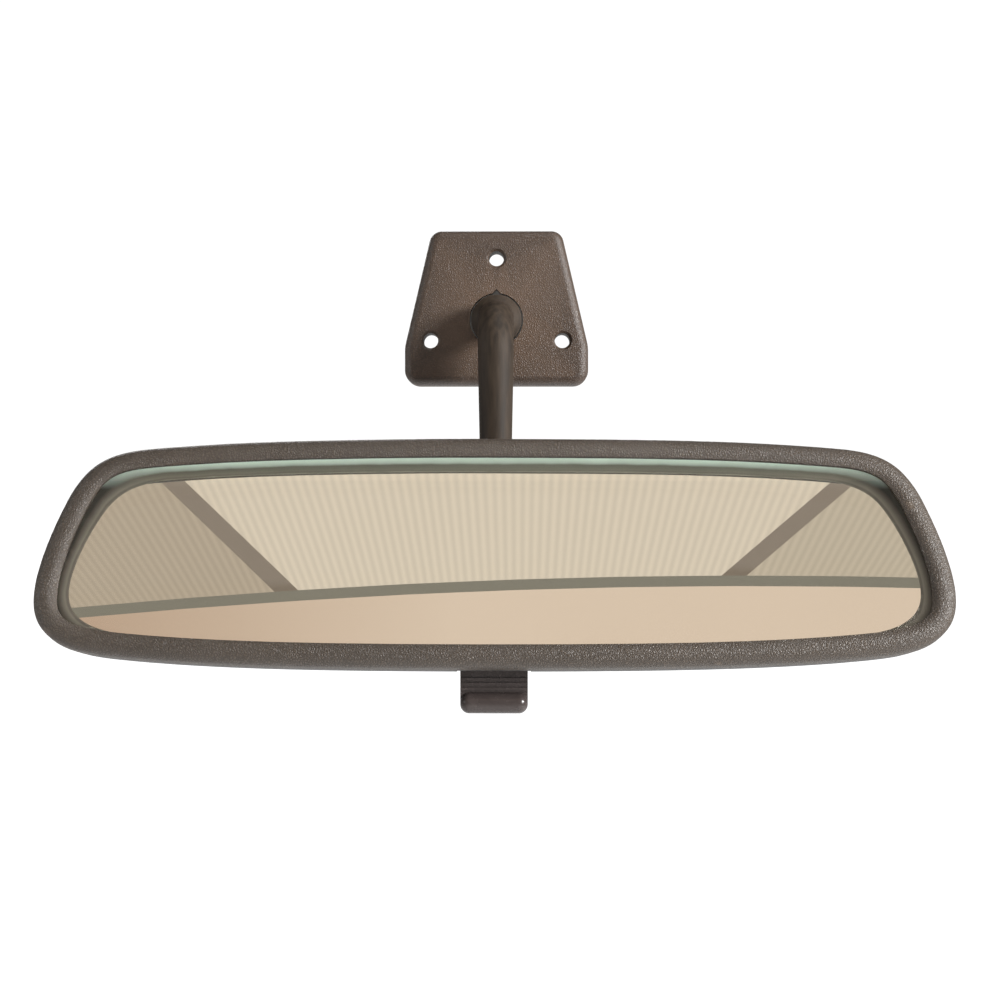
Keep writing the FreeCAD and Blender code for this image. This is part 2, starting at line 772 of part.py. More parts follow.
def detent_spring():
    """Leaf with two legs; it bears on the lever's cams to hold day and night."""
    front = leaf_back - leaf_t
    bar = block(-cam_outer, cam_outer, front, leaf_back, leaf_bar_bottom, leaf_top)
    for side in (-1, 1):
        x0, x1 = sorted((side * cam_inner, side * cam_outer))
        bar = bar.fuse(block(x0, x1, front, leaf_back, pivot_z - leaf_leg_end, leaf_top))
    for side in (-1, 1):
        hole_r = leaf_screw_r + leaf_hole_gap
        bar = bar.cut(ring(hole_r, 0, rim_front, 0, side * leaf_screw_x, leaf_screw_z))
    return bar.removeSplitter()


def detent_screws():
    screws = []
    for side in (-1, 1):
        x = side * leaf_screw_x
        front = leaf_back - leaf_t
        head = ring(leaf_head_r, 0, front - leaf_head_t, front, x, leaf_screw_z)
        shank = ring(leaf_screw_r, 0, front, leaf_back + leaf_shank, x, leaf_screw_z)
        screws.append(fuse(head, shank))
    return Part.makeCompound(screws)


fixed_nodes = (
    base_cover, back_plate, swivel_bush, friction_washer, disc_spring,
    arm_stem, swivel_pin, retaining_clip, ball_stud,
)
head_nodes = (
    socket_front_cup, socket_rear_cup, hinge_bracket, pressure_ring, socket_spring,
    clamp_cap, clamp_screws, housing_shell, front_rim, prism_glass, silver_backing,
    foam_pad, hinge_pin, lever_pivot_pin, detent_spring, detent_screws, dip_lever,
    crank_pin,
)

os.makedirs("parts", exist_ok=True)
for make in fixed_nodes:
    make().exportStep("parts/" + make.__name__ + ".step")
for make in head_nodes:
    place_head(make()).exportStep("parts/" + make.__name__ + ".step")
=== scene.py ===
# %% [markdown]
# # Interior rearview mirror
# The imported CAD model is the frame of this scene: every piece already lies where it
# belongs, in metres, with +Z up and the glass looking towards -Y.  This lesson gives
# each piece its finish, rebuilds the glass as a real wedge with a silvered back, and
# sets up a small studio.  Nothing that the CAD placed is moved.

# %% Load the frame
import math

import bmesh
import bpy
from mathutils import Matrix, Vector


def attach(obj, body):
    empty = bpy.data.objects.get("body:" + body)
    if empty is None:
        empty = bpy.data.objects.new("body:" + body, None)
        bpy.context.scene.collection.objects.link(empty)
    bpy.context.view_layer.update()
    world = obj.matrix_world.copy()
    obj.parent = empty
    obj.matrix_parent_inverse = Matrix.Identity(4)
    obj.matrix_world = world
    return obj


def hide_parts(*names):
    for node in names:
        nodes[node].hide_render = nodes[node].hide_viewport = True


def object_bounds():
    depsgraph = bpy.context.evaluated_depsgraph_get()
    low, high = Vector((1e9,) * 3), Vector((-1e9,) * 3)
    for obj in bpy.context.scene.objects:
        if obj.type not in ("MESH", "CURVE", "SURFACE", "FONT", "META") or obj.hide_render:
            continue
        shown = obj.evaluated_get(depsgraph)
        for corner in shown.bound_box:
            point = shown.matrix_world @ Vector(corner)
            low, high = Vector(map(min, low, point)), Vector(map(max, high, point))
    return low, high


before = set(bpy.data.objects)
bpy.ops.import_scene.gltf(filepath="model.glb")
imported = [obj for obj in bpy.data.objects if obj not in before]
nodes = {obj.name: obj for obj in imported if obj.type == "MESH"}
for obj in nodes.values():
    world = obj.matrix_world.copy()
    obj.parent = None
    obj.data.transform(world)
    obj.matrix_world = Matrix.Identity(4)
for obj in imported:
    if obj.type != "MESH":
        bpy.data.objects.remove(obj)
cad_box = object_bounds()
print("pieces:", len(nodes), "size in metres:", [round(v, 4) for v in cad_box[1] - cad_box[0]])

# %% [markdown]
# ## How a finish is made
# A moulded or machined surface is never one flat colour.  It has a grain or a tool mark
# that bends the light, small differences in gloss, and a tone that drifts over the part.
# All of that can come from 3-D noise read in the piece's own coordinates, which needs no
# unwrapping and stays fixed to the piece when a joint moves.  The helpers below make the
# steps that every finish shares, and each finish is then written out in its own cell.


# %% Helpers for node finishes
class Finish:
    """One material under construction: its node tree and its surface shader."""

    def __init__(self, name, colour, roughness, metallic=0.0):
        self.material = bpy.data.materials.new(name)
        self.material.use_nodes = True
        self.tree = self.material.node_tree
        self.shader = self.tree.nodes["Principled BSDF"]
        self.shader.inputs["Base Color"].default_value = (*colour, 1)
        self.shader.inputs["Roughness"].default_value = roughness
        self.shader.inputs["Metallic"].default_value = metallic
        self.place = self.node("ShaderNodeTexCoord").outputs["Object"]

    def node(self, kind, **settings):
        made = self.tree.nodes.new(kind)
        for key, value in settings.items():
            setattr(made, key, value)
        return made

    def link(self, output, target):
        self.tree.links.new(output, target)

    def stretched(self, scale):
        """The piece's coordinates, squeezed or stretched along each axis."""
        mapping = self.node("ShaderNodeMapping")
        mapping.inputs["Scale"].default_value = scale
        self.link(self.place, mapping.inputs["Vector"])
        return mapping.outputs["Vector"]

    def noise(self, size, detail=3.0, place=None, roughness=0.5):
        """Soft noise whose lumps are about `size` metres across."""
        texture = self.node("ShaderNodeTexNoise")
        texture.inputs["Scale"].default_value = 1.0 / size
        texture.inputs["Detail"].default_value = detail
        texture.inputs["Roughness"].default_value = roughness
        self.link(place or self.place, texture.inputs["Vector"])
        return texture.outputs["Fac"]

    def cells(self, size, place=None):
        """Pebble cells about `size` metres across, dark along their borders."""
        texture = self.node("ShaderNodeTexVoronoi", feature="DISTANCE_TO_EDGE")
        texture.inputs["Scale"].default_value = 1.0 / size
        self.link(place or self.place, texture.inputs["Vector"])
        return texture.outputs["Distance"]

    def span(self, value, low, high, from_low=0.0, from_high=1.0):
        """Maps a value to a new range."""
        mapper = self.node("ShaderNodeMapRange")
        mapper.inputs["From Min"].default_value = from_low
        mapper.inputs["From Max"].default_value = from_high
        mapper.inputs["To Min"].default_value = low
        mapper.inputs["To Max"].default_value = high
        self.link(value, mapper.inputs["Value"])
        return mapper.outputs["Result"]

    def mix(self, amount, first, second):
        """Blends two colours or outputs by an amount."""
        mixer = self.node("ShaderNodeMix", data_type="RGBA")
        self.link(amount, mixer.inputs["Factor"])
        for value, socket in ((first, mixer.inputs["A"]), (second, mixer.inputs["B"])):
            if isinstance(value, tuple):
                socket.default_value = (*value, 1)
            else:
                self.link(value, socket)
        return mixer.outputs["Result"]

    def times(self, first, second, operation="MULTIPLY"):
        maths = self.node("ShaderNodeMath", operation=operation)
        self.link(first, maths.inputs[0])
        if isinstance(second, float):
            maths.inputs[1].default_value = second
        else:
            self.link(second, maths.inputs[1])
        return maths.outputs[0]

    def bump(self, height, depth, under=None):
        """Relief of `depth` metres, laid on top of `under`."""
        relief = self.node("ShaderNodeBump")
        relief.inputs["Strength"].default_value = 1.0
        relief.inputs["Distance"].default_value = depth
        self.link(height, relief.inputs["Height"])
        if under is not None:
            self.link(under, relief.inputs["Normal"])
        self.link(relief.outputs["Normal"], self.shader.inputs["Normal"])
        return relief.outputs["Normal"]

    def edges(self):
        """1 on outer edges, where wear and a painted highlight go, 0 on flats and in corners."""
        point = self.node("ShaderNodeNewGeometry").outputs["Pointiness"]
        return self.span(point, 0.0, 1.0, 0.52, 0.6)

    def painted_crevice_shade(self, reach):
        """1 deep in holes, grooves and corners, where shade is painted, 0 in the open."""
        shelter = self.node("ShaderNodeAmbientOcclusion", samples=6, only_local=True)
        shelter.inputs["Distance"].default_value = reach
        return self.span(shelter.outputs["AO"], 0.0, 1.0, 0.95, 0.5)


def shade(colour, factor):
    return tuple(min(1.0, c * factor) for c in colour)


def dress(material, *names):
    """Puts one finish on whole CAD pieces."""
    for name in names:
        mesh = nodes[name].data
        mesh.materials.clear()
        mesh.materials.append(material)
    print(material.name, "->", ", ".join(names))


# %% [markdown]
# ## The grained plastic of the base and the frame
# Both are injection moulded in a tool whose steel was etched with a leather pattern: low
# pebbles about half a millimetre across with fine creases between them.  It could be
# modelled as displacement, but the relief is only a few hundredths of a millimetre, so
# bump gives the same light with no extra mesh.  Two sizes of cells, bent by noise so
# that they aren't regular, make the pebbles, and the creases are a little duller.


# %% Grained plastic
def grained_plastic(name, colour, pebble, depth, roughness):
    f = Finish(name, colour, roughness)
    drift = f.noise(0.03, 2.0)
    wobble = f.node("ShaderNodeTexNoise")
    wobble.inputs["Scale"].default_value = 1.0 / (pebble * 2.2)
    f.link(f.place, wobble.inputs["Vector"])
    bent = f.node("ShaderNodeVectorMath", operation="MULTIPLY_ADD")
    f.link(wobble.outputs["Color"], bent.inputs[0])
    bent.inputs[1].default_value = (pebble * 0.9,) * 3
    f.link(f.place, bent.inputs[2])
    crease = f.span(f.cells(pebble, bent.outputs[0]), 0.0, 1.0, 0.0, 0.3)
    fine = f.span(f.cells(pebble * 0.45, bent.outputs[0]), 0.0, 1.0, 0.0, 0.25)
    relief = f.times(crease, f.span(fine, 0.75, 1.0))
    tone = f.mix(f.span(drift, 0.0, 1.0, 0.3, 0.7), shade(colour, 0.86), shade(colour, 1.12))
    tone = f.mix(f.span(relief, 0.75, 0.0), tone, shade(colour, 0.35))
    # Lighter outer edges: partly wear, partly painted highlight.
    tone = f.mix(f.times(f.edges(), 0.35), tone, shade(colour, 2.2))
    # Darker holes, grooves and corners: painted shade.
    tone = f.mix(f.painted_crevice_shade(0.003), tone, shade(colour, 0.12))
    f.link(tone, f.shader.inputs["Base Color"])
    gloss = f.span(relief, roughness + 0.16, roughness)
    gloss = f.times(gloss, f.span(f.noise(0.012), -0.05, 0.05), "ADD")
    f.link(gloss, f.shader.inputs["Roughness"])
    f.shader.inputs["Specular IOR Level"].default_value = 0.55
    f.bump(relief, depth)
    return f.material


base_brown = (0.058, 0.034, 0.020)
rim_brown = (0.056, 0.040, 0.027)
dress(grained_plastic("base_grain", base_brown, 0.0006, 0.00006, 0.36), "base_cover")
dress(grained_plastic("rim_grain", rim_brown, 0.0007, 0.0001, 0.40), "front_rim")

# %% [markdown]
# ## The satin plastic of the arm
# The arm is moulded in a polished tool and has no grain, only long faint flow streaks
# down its length and the softest gloss.  Stretching the noise along the arm gives the
# streaks.  The case behind the glass and the bracket in it are black and have a fine
# spark-eroded texture, which is plain noise with no direction.


# %% Satin arm and textured case
def satin_plastic(name, colour, roughness, streaks):
    f = Finish(name, colour, roughness)
    flow = f.noise(0.0016, 3.0, f.stretched(streaks))
    drift = f.noise(0.018, 2.0)
    tone = f.mix(f.span(flow, 0.0, 1.0, 0.35, 0.65), shade(colour, 0.6), shade(colour, 1.5))
    tone = f.mix(f.times(f.span(drift, 0.0, 1.0, 0.3, 0.7), 0.5), tone, shade(colour, 1.2))
    # Lighter outer edges: partly wear, partly painted highlight.
    tone = f.mix(f.times(f.edges(), 0.3), tone, shade(colour, 2.0))
    f.link(tone, f.shader.inputs["Base Color"])
    f.link(f.span(flow, roughness - 0.05, roughness + 0.08), f.shader.inputs["Roughness"])
    f.shader.inputs["Specular IOR Level"].default_value = 0.2
    fine = f.noise(0.0004, 2.0)
    under = f.bump(flow, 0.00004)
    f.bump(fine, 0.00001, under=under)
    return f.material


spark_depth = 0.00005


def sparked_plastic(name, colour, roughness):
    f = Finish(name, colour, roughness)
    grit = f.noise(0.00045, 4.0, roughness=0.65)
    drift = f.noise(0.04, 2.0)
    tone = f.mix(f.span(drift, 0.0, 1.0, 0.3, 0.7), shade(colour, 0.82), shade(colour, 1.2))
    # Lighter outer edges: partly wear, partly painted highlight.
    tone = f.mix(f.times(f.edges(), 0.3), tone, shade(colour, 2.4))
    f.link(tone, f.shader.inputs["Base Color"])
    f.link(f.span(grit, roughness - 0.08, roughness + 0.1), f.shader.inputs["Roughness"])
    f.bump(grit, spark_depth)
    return f.material


arm_brown = (0.026, 0.018, 0.012)
dress(satin_plastic("arm_satin", arm_brown, 0.6, (1.0, 1.0, 0.12)), "arm_stem")
dress(sparked_plastic("case_black", (0.028, 0.026, 0.026), 0.5), "housing_shell")
dress(sparked_plastic("bracket_black", (0.035, 0.035, 0.037), 0.55), "hinge_bracket")

# %% [markdown]
# ## The glossy tab
# The dip tab is handled every night, so it is moulded smooth and hard.  A glossy dark
# plastic shows mostly what it reflects, so its colour matters less than the fine rubbing
# that dulls the gloss in patches.  A thin clear coat over a dull body gives both.


# %% Glossy tab
def glossy_plastic(name, colour):
    f = Finish(name, colour, 0.24)
    rub = f.noise(0.004, 5.0, roughness=0.6)
    scratch = f.noise(0.0007, 2.0, f.stretched((0.1, 1.0, 1.0)))
    f.link(f.mix(rub, shade(colour, 0.8), shade(colour, 1.4)), f.shader.inputs["Base Color"])
    f.link(f.span(rub, 0.18, 0.34, 0.35, 0.7), f.shader.inputs["Roughness"])
    f.shader.inputs["Specular IOR Level"].default_value = 0.25
    f.shader.inputs["Coat Weight"].default_value = 0.12
    f.shader.inputs["Coat Roughness"].default_value = 0.08
    f.bump(scratch, 0.000006)
    return f.material


dress(glossy_plastic("tab_gloss", (0.038, 0.030, 0.028)), "dip_lever")

# %% [markdown]
# ## The metal and nylon of the joints
# Behind the cover and inside the head there are zinc plated pins and screws, blued
# springs, and cups of natural nylon.  The back of the base shows several of them.
# Turned and stamped steel has a directional sheen, so its noise is stretched; nylon is
# slightly waxy, which a little subsurface light gives.  The pad behind the glass is
# closed-cell foam, drawn as shallow cells.


# %% Steel and nylon
def plated_steel(name, colour, roughness, grain=(1.0, 0.06, 1.0)):
    f = Finish(name, colour, roughness, metallic=1.0)
    brushed = f.noise(0.0005, 4.0, f.stretched(grain))
    cloud = f.noise(0.006, 3.0)
    f.link(f.mix(cloud, shade(colour, 0.8), shade(colour, 1.12)), f.shader.inputs["Base Color"])
    f.link(f.span(brushed, roughness - 0.08, roughness + 0.14), f.shader.inputs["Roughness"])
    f.bump(brushed, 0.00001)
    return f.material


def natural_nylon(name, colour):
    f = Finish(name, colour, 0.45)
    cloud = f.noise(0.005, 3.0)
    f.link(f.mix(cloud, shade(colour, 0.88), shade(colour, 1.05)), f.shader.inputs["Base Color"])
    f.shader.inputs["Subsurface Weight"].default_value = 0.15
    f.shader.inputs["Subsurface Scale"].default_value = 0.001
    f.bump(f.noise(0.0006, 2.0), 0.00001)
    return f.material


def closed_foam(name, colour):
    f = Finish(name, colour, 0.9)
    pores = f.cells(0.0008)
    f.link(f.mix(f.span(pores, 0.0, 1.0, 0.0, 0.3), shade(colour, 0.5), colour),
           f.shader.inputs["Base Color"])
    f.bump(pores, 0.00008)
    return f.material


dress(plated_steel("zinc_plate", (0.62, 0.61, 0.58), 0.32), "back_plate", "friction_washer",
      "clamp_cap", "clamp_screws", "detent_screws")
dress(plated_steel("ground_steel", (0.6, 0.6, 0.61), 0.18), "swivel_pin", "ball_stud",
      "hinge_pin", "lever_pivot_pin", "crank_pin")
dress(plated_steel("blued_spring", (0.2, 0.2, 0.23), 0.3), "disc_spring", "retaining_clip",
      "socket_spring", "detent_spring")
dress(natural_nylon("nylon", (0.74, 0.71, 0.62)), "swivel_bush", "socket_front_cup",
      "socket_rear_cup", "pressure_ring")
dress(closed_foam("pad_foam", (0.06, 0.06, 0.065)), "foam_pad")

# %% [markdown]
# ## Smooth shading
# The CAD surfaces come as fine triangles.  A weighted normal modifier lets curved faces
# shade as one surface while the sharp edges between flats stay crisp, and it leaves the
# vertices where they are.

# %% Shade the CAD pieces
for piece in nodes.values():
    for polygon in piece.data.polygons:
        polygon.use_smooth = True
    crisp = piece.modifiers.new("crisp_edges", "WEIGHTED_NORMAL")
    crisp.keep_sharp = True
    piece.data.set_sharp_from_angle(angle=math.radians(32))
print("smoothed", len(nodes), "pieces")

# %% [markdown]
# ## The prism glass
# A day/night mirror is one wedge of glass, thick at the top, silvered on its back.  The
# silver stops short of the edge all round, so a border of bare glass shows; its pale green
# along the top is painted glow and its dark at the ends is painted shade.  The case's
# ledge bears on that bare glass.
# Modelled as a sheet of glass with a separate mirror behind it, the two touching faces
# would flicker in a ray tracer.  Here the wedge is one closed solid with four finishes:
# clear glass in front, ground glass on the sides, the bare border, and silver on the
# rest of the back.


# %% Read the outline of a flat CAD face
def outer_loop(mesh, pick):
    """Corner points in order round the edge of the faces that `pick` accepts."""
    chosen = [p for p in mesh.polygons if pick(p)]
    count = {}
    key_of = {}
    for v in mesh.vertices:
        key_of[v.index] = tuple(round(c, 6) for c in v.co)
    for p in chosen:
        keys = [key_of[i] for i in p.vertices]
        for a, b in zip(keys, keys[1:] + keys[:1]):
            count[(a, b)] = count.get((a, b), 0) + 1
    follow = {a: b for a, b in count if (b, a) not in count}
    start = next(iter(follow))
    loop = [start]
    while follow[loop[-1]] != start:
        loop.append(follow[loop[-1]])
    return [Vector(p) for p in loop]


def facing(direction, tolerance=0.999):
    return lambda p: p.normal.dot(direction) > tolerance


glass_mesh = nodes["prism_glass"].data
silver_mesh = nodes["silver_backing"].data
front_normal = max(glass_mesh.polygons, key=lambda p: p.area * -p.normal.y).normal.copy()
back_normal = max(glass_mesh.polygons, key=lambda p: p.area * p.normal.y).normal.copy()
front_loop = outer_loop(glass_mesh, facing(front_normal))
back_loop = outer_loop(glass_mesh, facing(back_normal))
silver_loop = outer_loop(silver_mesh, facing(-back_normal))
wedge = math.degrees(front_normal.angle(-back_normal))
print("glass outline points:", len(front_loop), "wedge angle:", round(wedge, 2), "degrees")


# %% Build the wedge
glass_box = [(min(p[k] for p in front_loop), max(p[k] for p in front_loop)) for k in range(3)]
glass_half = [(high - low) / 2 for low, high in glass_box]


def crossing(points, centre, angle):
    """Where the loop is met, going out from its centre at an angle of the stretched outline."""
    out = Vector((math.cos(angle) * glass_half[0], math.sin(angle) * glass_half[2]))
    for a, b in zip(points, points[1:] + points[:1]):
        p = Vector((a.x - centre.x, a.z - centre.z))
        q = Vector((b.x - centre.x, b.z - centre.z))
        over_p = out.x * p.y - out.y * p.x
        over_q = out.x * q.y - out.y * q.x
        if over_p <= 0 < over_q and (p + q).dot(out) > 0:
            return a.lerp(b, over_p / (over_p - over_q))
    return None


def even_ring(points, count):
    """The loop sampled at `count` even directions, so that rings match point by point."""
    centre = sum(points, Vector()) / len(points)
    turned = sum(a.x * b.z - a.z * b.x for a, b in zip(points, points[1:] + points[:1]))
    if turned < 0:
        points = points[::-1]
    return [crossing(points, centre, 2 * math.pi * (i + 0.5) / count) for i in range(count)]


ledge_clearance = 0.00005     # keeps the back of the glass off the ledge it rests on


def glass_wedge(count=420):
    """Front, ground sides, bare border and silver; the border knows how far in it is."""
    rings = [even_ring(loop, count) for loop in (front_loop, back_loop, silver_loop)]
    plane = rings[1][0]
    rings[2] = [p - back_normal * (p - plane).dot(back_normal) for p in rings[2]]
    for k in (1, 2):
        rings[k] = [p - back_normal * ledge_clearance for p in rings[k]]
    build = bmesh.new()
    share = build.verts.layers.float.new("border_share")
    verts = [[build.verts.new(p) for p in ring] for ring in rings]
    for v in verts[2]:
        v[share] = 1.0
    clear, ground, border, silver = range(4)
    build.faces.new(verts[0]).material_index = clear
    for i in range(count):
        j = (i + 1) % count
        side = build.faces.new((verts[0][i], verts[0][j], verts[1][j], verts[1][i]))
        side.material_index = ground
        bare = build.faces.new((verts[1][i], verts[1][j], verts[2][j], verts[2][i]))
        bare.material_index = border
    build.faces.new(verts[2][::-1]).material_index = silver
    bmesh.ops.recalc_face_normals(build, faces=build.faces)
    mesh = bpy.data.meshes.new("mirror_glass")
    build.to_mesh(mesh)
    build.free()
    return mesh


mirror_glass = bpy.data.objects.new("mirror_glass", glass_wedge())
bpy.context.collection.objects.link(mirror_glass)


# %% Finishes of the glass
def clear_glass(name):
    f = Finish(name, (0.96, 0.985, 0.975), 0.0)
    f.shader.inputs["Transmission Weight"].default_value = 1.0
    f.shader.inputs["IOR"].default_value = 1.52
    return f.material


def glowing_ground_glass(name, colour, cloud_size):
    f = Finish(name, colour, 0.45)
    cloud = f.noise(cloud_size, 3.0)
    f.link(f.mix(cloud, shade(colour, 0.85), shade(colour, 1.1)), f.shader.inputs["Base Color"])
    # The ground sides glow a little: painted light standing in for light reaching them through
    # the glass.
    f.shader.inputs["Emission Color"].default_value = (*colour, 1)
    f.shader.inputs["Emission Strength"].default_value = 0.12
    f.bump(f.noise(0.0003, 2.0), 0.00001)
    return f.material


def border_painted_glow(name):
    """Unsilvered glass, read inwards from the ground edge to the silver; its colour is painted
    glow along the top and painted shade at the ends.
    """
    f = Finish(name, (0.1, 0.09, 0.07), 0.5)
    share = f.node("ShaderNodeAttribute", attribute_name="border_share").outputs["Fac"]
    share = f.times(share, f.span(f.noise(0.006, 2.0), -0.06, 0.06), "ADD")
    tones = []
    for stops in (painted_border_shade_ends, painted_border_glow_top):
        ramp = f.node("ShaderNodeValToRGB")
        while len(ramp.color_ramp.elements) < len(stops):
            ramp.color_ramp.elements.new(1.0)
        for stop, (where, colour) in zip(ramp.color_ramp.elements, stops):
            stop.position = where
            stop.color = (*colour, 1)
        f.link(share, ramp.inputs["Fac"])
        tones.append(ramp.outputs["Color"])
    apart = f.node("ShaderNodeSeparateXYZ")
    f.link(f.place, apart.inputs[0])
    height = f.span(apart.outputs["Z"], 0.0, 1.0, *border_shade_to_glow)
    # Painted shade at the ends blends into painted glow near the top; the result is both colour
    # and glow.
    mixer = f.node("ShaderNodeMix", data_type="RGBA")
    f.link(height, mixer.inputs["Factor"])
    f.link(tones[0], mixer.inputs["A"])
    f.link(tones[1], mixer.inputs["B"])
    f.link(mixer.outputs["Result"], f.shader.inputs["Base Color"])
    f.link(mixer.outputs["Result"], f.shader.inputs["Emission Color"])
    f.shader.inputs["Emission Strength"].default_value = 0.5
    return f.material


# Tones inwards from the ground edge: painted glow along the top, painted shade at the ends.
painted_border_glow_top = (
    (0.20, (0.54, 0.61, 0.53)), (0.42, (0.36, 0.41, 0.35)), (0.56, (0.085, 0.09, 0.066)),
    (0.92, (0.08, 0.08, 0.06)), (1.0, (0.2, 0.19, 0.15)),
)
painted_border_shade_ends = (
    (0.40, (0.022, 0.016, 0.011)), (0.60, (0.085, 0.068, 0.05)), (0.80, (0.16, 0.135, 0.105)),
    (0.90, (0.095, 0.078, 0.058)), (1.0, (0.15, 0.125, 0.095)),
)


def silvering(name):
    f = Finish(name, (0.9, 0.89, 0.86), 0.0, metallic=1.0)
    haze = f.noise(0.05, 2.0)
    f.link(f.mix(haze, (0.87, 0.86, 0.83), (0.93, 0.92, 0.9)), f.shader.inputs["Base Color"])
    return f.material


glass_top = max(p.z for p in back_loop)
border_shade_to_glow = (glass_top - 0.009, glass_top - 0.002)
for finish in (
    clear_glass("prism_clear"),
    glowing_ground_glass("glowing_glass_edge", (0.42, 0.58, 0.5), 0.01),
    border_painted_glow("border_painted_glow"),
    silvering("silver_back"),
):
    mirror_glass.data.materials.append(finish)
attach(mirror_glass, "head")
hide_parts("prism_glass", "silver_backing")

# %% [markdown]
# ## The studio
# The object hangs over a plain pale floor, lit by soft panels.  A mirror shows whatever
# stands in front of it, so it needs something to show: above and behind the camera there
# is a warm ribbed roof panel with two rafters, a dark trim along its far edge and a warm
# wall below it that darkens to the left.  They glow rather than being lit, and their
# brighter and darker parts are painted light and shade.  The glass leans back and is a
# prism, so it looks up at an angle.
# Every part of that set is placed by direction: so many degrees to the side and so many
# above level, as seen from the middle of the glass.


# %% Floor
def glowing(name, colour, glow, mesh):
    f = Finish(name, colour, 0.9)
    f.shader.inputs["Emission Color"].default_value = (*colour, 1)
    f.shader.inputs["Emission Strength"].default_value = glow
    mesh.materials.append(f.material)
    return f


def sheet_of(name, corners):
    mesh = bpy.data.meshes.new(name)
    mesh.from_pydata([Vector(c) for c in corners], [], [tuple(range(len(corners)))])
    made = bpy.data.objects.new(name, mesh)
    bpy.context.collection.objects.link(made)
    return made


floor_z = cad_box[0].z - 0.35
wide = 400.0
floor = sheet_of("floor", [(-wide, -wide, floor_z), (wide, -wide, floor_z),
                           (wide, wide, floor_z), (-wide, wide, floor_z)])
floor_finish = glowing("pale_floor", (0.9, 0.9, 0.9), 0.9, floor.data)
seen = floor_finish.node("ShaderNodeLightPath").outputs["Is Camera Ray"]
floor_glow = floor_finish.span(seen, 0.2, 1.1)
floor_finish.link(floor_glow, floor_finish.shader.inputs["Emission Strength"])

# %% Roof panel, rafters, trim and wall
glass_middle = sum(front_loop, Vector()) / len(front_loop)
roof_pitch = math.radians(26)
roof_near = 2.2
trim_height = 42.6


def sight(side, height):
    """Direction from the middle of the glass, in degrees to the side and above level."""
    a, e = math.radians(side), math.radians(height)
    return Vector((math.tan(a), -math.cos(e), math.sin(e)))


roof_point = glass_middle + sight(0, trim_height) * roof_near
roof_normal = Vector((0, math.sin(roof_pitch), math.cos(roof_pitch)))


def on_roof(side, height, sunk=0.0):
    """Where that direction meets the sloping roof, or a plane `sunk` metres below it."""
    way = sight(side, height)
    reach = (roof_point - roof_normal * sunk - glass_middle).dot(roof_normal)
    return glass_middle + way * (reach / way.dot(roof_normal))


def trim_line(side):
    """The trim runs a little lower on the left."""
    return trim_height + 0.035 * side - 0.0012 * side * side


def ribbed(name, colour, corners):
    """One bay of the roof; its corners are (side, height) pairs."""
    bay = sheet_of(name, [on_roof(*c) for c in corners])
    f = glowing(name, colour, 1.0, bay.data)
    wave = f.node("ShaderNodeTexWave", wave_type="BANDS", bands_direction="X")
    wave.inputs["Scale"].default_value = 2 * math.pi / rib_pitch / 20
    f.link(f.place, wave.inputs["Vector"])
    # Light and dark rib bands in the glow: painted light and shade on the ribs.
    tone = f.mix(wave.outputs["Fac"], shade(colour, 0.93), shade(colour, 1.05))
    f.link(tone, f.shader.inputs["Emission Color"])
    f.shader.inputs["Base Color"].default_value = (0, 0, 0, 1)
    return bay


def rafter(name, foot, head):
    """Strip hung just under the roof, from (side, height) to (side, height)."""
    corners = []
    for end, way in ((foot, -1), (foot, 1), (head, 1), (head, -1)):
        corners.append(on_roof(end[0] + way * rafter_half, end[1], 0.01))
    strip = sheet_of(name, corners)
    glowing(name, (0.2, 0.16, 0.125), 0.9, strip.data)
    return strip


rib_pitch = 0.0114
far_side = 28                # degrees, where roof and wall end
roof_top = 48.5              # degrees, upper edge of the roof
wall_foot = 33               # degrees, lower edge of the wall
wall_away = 2.6              # metres from the glass
trim_step = 4                # degrees between the points of the trim
rafter_half = 0.45           # degrees
left_foot, left_head = (-8.3, trim_line(-8.3)), (-14.8, roof_top)
right_foot, right_head = (8.0, trim_line(8.0)), (14.6, roof_top)
# The bays, rafters and trim glow rather than being lit: painted light.  The brighter middle bay
# and darker side bays are painted light and shade.
reflector = [
    ribbed("roof_middle", (0.79, 0.67, 0.53), (left_foot, right_foot, right_head, left_head)),
    ribbed("roof_left", (0.52, 0.42, 0.315),
           ((-far_side, trim_line(-far_side)), left_foot, left_head, (-far_side, roof_top))),
    ribbed("roof_right", (0.60, 0.50, 0.38),
           (right_foot, (far_side, trim_line(far_side)), (far_side, roof_top), right_head)),
    rafter("rafter_left", left_foot, left_head),
    rafter("rafter_right", right_foot, right_head),
]
trim = []
for side in range(-far_side, far_side + 1, trim_step):
    trim.append(on_roof(side, trim_line(side) - 0.35, 0.02))
for side in range(far_side, -far_side - 1, -trim_step):
    trim.append(on_roof(side, trim_line(side) + 0.05, 0.02))
reflector.append(sheet_of("roof_trim", trim))
glowing("roof_trim", (0.17, 0.155, 0.12), 0.9, reflector[-1].data)
wall_corners = [(-far_side, wall_foot), (far_side, wall_foot),
                (far_side, trim_height + 0.9), (-far_side, trim_height - 0.7)]
wall = sheet_of("warm_wall", [glass_middle + sight(*c) * wall_away for c in wall_corners])
wall_finish = glowing("warm_wall", (0.83, 0.68, 0.53), 1.0, wall.data)
# The wall glows rather than being lit, and its glow darkens towards the left: painted light.
across = wall_finish.node("ShaderNodeSeparateXYZ")
wall_finish.link(wall_finish.place, across.inputs[0])
glow_darkening_left = wall_finish.span(across.outputs["X"], 0.0, 1.0, -0.75, -0.1)
wall_tone = wall_finish.mix(glow_darkening_left, (0.56, 0.385, 0.27), (0.83, 0.65, 0.5))
wall_finish.link(wall_tone, wall_finish.shader.inputs["Emission Color"])
wall_finish.shader.inputs["Base Color"].default_value = (0, 0, 0, 1)
reflector.append(wall)
for part in reflector:
    part.visible_camera = False
print("reflector parts:", len(reflector))


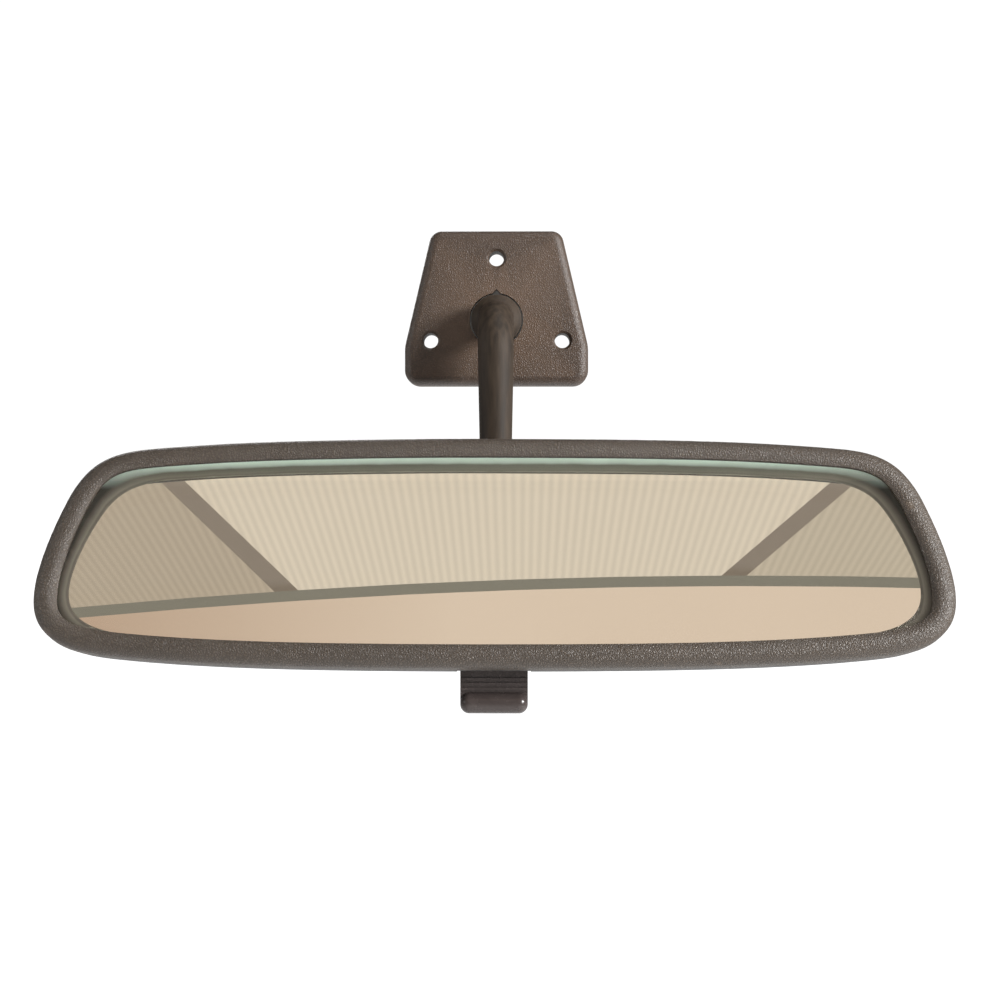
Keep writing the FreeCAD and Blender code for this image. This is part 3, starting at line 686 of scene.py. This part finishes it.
# %% [markdown]
# ## Lights
# Five soft panels light the object: a key from the right, a weaker one on each edge, one
# from above, and one behind for the back of the case.  They are discs of real size, so
# their shadows are soft, and they are kept out of the camera's sight.  The world adds an
# even fill.


# %% Lights
def soft_light(name, place, aim, size, power):
    data = bpy.data.lights.new(name, "AREA")
    data.shape = "DISK"
    data.size = size
    data.energy = power
    data.color = (1, 1, 1)
    lamp = bpy.data.objects.new(name, data)
    lamp.location = place
    lamp.rotation_euler = (Vector(aim) - Vector(place)).to_track_quat("-Z", "Y").to_euler()
    bpy.context.collection.objects.link(lamp)
    lamp.visible_camera = False


soft_light("key", (0.78, -0.6, 0.16), (0, 0, -0.03), 0.3, 19)
soft_light("right_edge", (0.9, -0.02, 0.12), (0.05, 0.01, 0), 0.2, 2.2)
soft_light("top", (0.3, -0.25, 0.9), (0, 0, -0.05), 0.3, 4)
soft_light("left_edge", (-0.8, -0.3, 0.15), (-0.1, -0.03, -0.06), 0.3, 2)
soft_light("back", (-0.3, 0.9, 0.4), (0, 0, -0.06), 0.6, 5)

world = bpy.data.worlds.new("studio")
bpy.context.scene.world = world
world.use_nodes = True
tree = world.node_tree
light_path = tree.nodes.new("ShaderNodeLightPath")
strength = tree.nodes.new("ShaderNodeMapRange")
strength.inputs["To Min"].default_value = 0.23
strength.inputs["To Max"].default_value = 1.05
tree.links.new(light_path.outputs["Is Camera Ray"], strength.inputs["Value"])
tree.links.new(strength.outputs["Result"], tree.nodes["Background"].inputs["Strength"])
tree.nodes["Background"].inputs["Color"].default_value = (1, 1, 1, 1)

# %% [markdown]
# ## Camera
# The camera stands level with the head and a little to the right, at about arm's length,
# with a lens long enough not to bend the outline.

# %% Camera
camera_data = bpy.data.cameras.new("camera")
camera_data.lens = 68.9
camera_data.sensor_width = 36.0
camera_data.clip_start = 0.01
camera_data.clip_end = 900
camera = bpy.data.objects.new("camera", camera_data)
camera.location = (0.0065, -0.566, -0.0525)
camera.rotation_euler = (math.radians(90), 0, math.radians(0.56))
bpy.context.collection.objects.link(camera)
bpy.context.scene.camera = camera
bpy.context.scene.view_settings.view_transform = "Standard"
print("camera", tuple(round(v, 4) for v in camera.location), "lens", camera_data.lens)
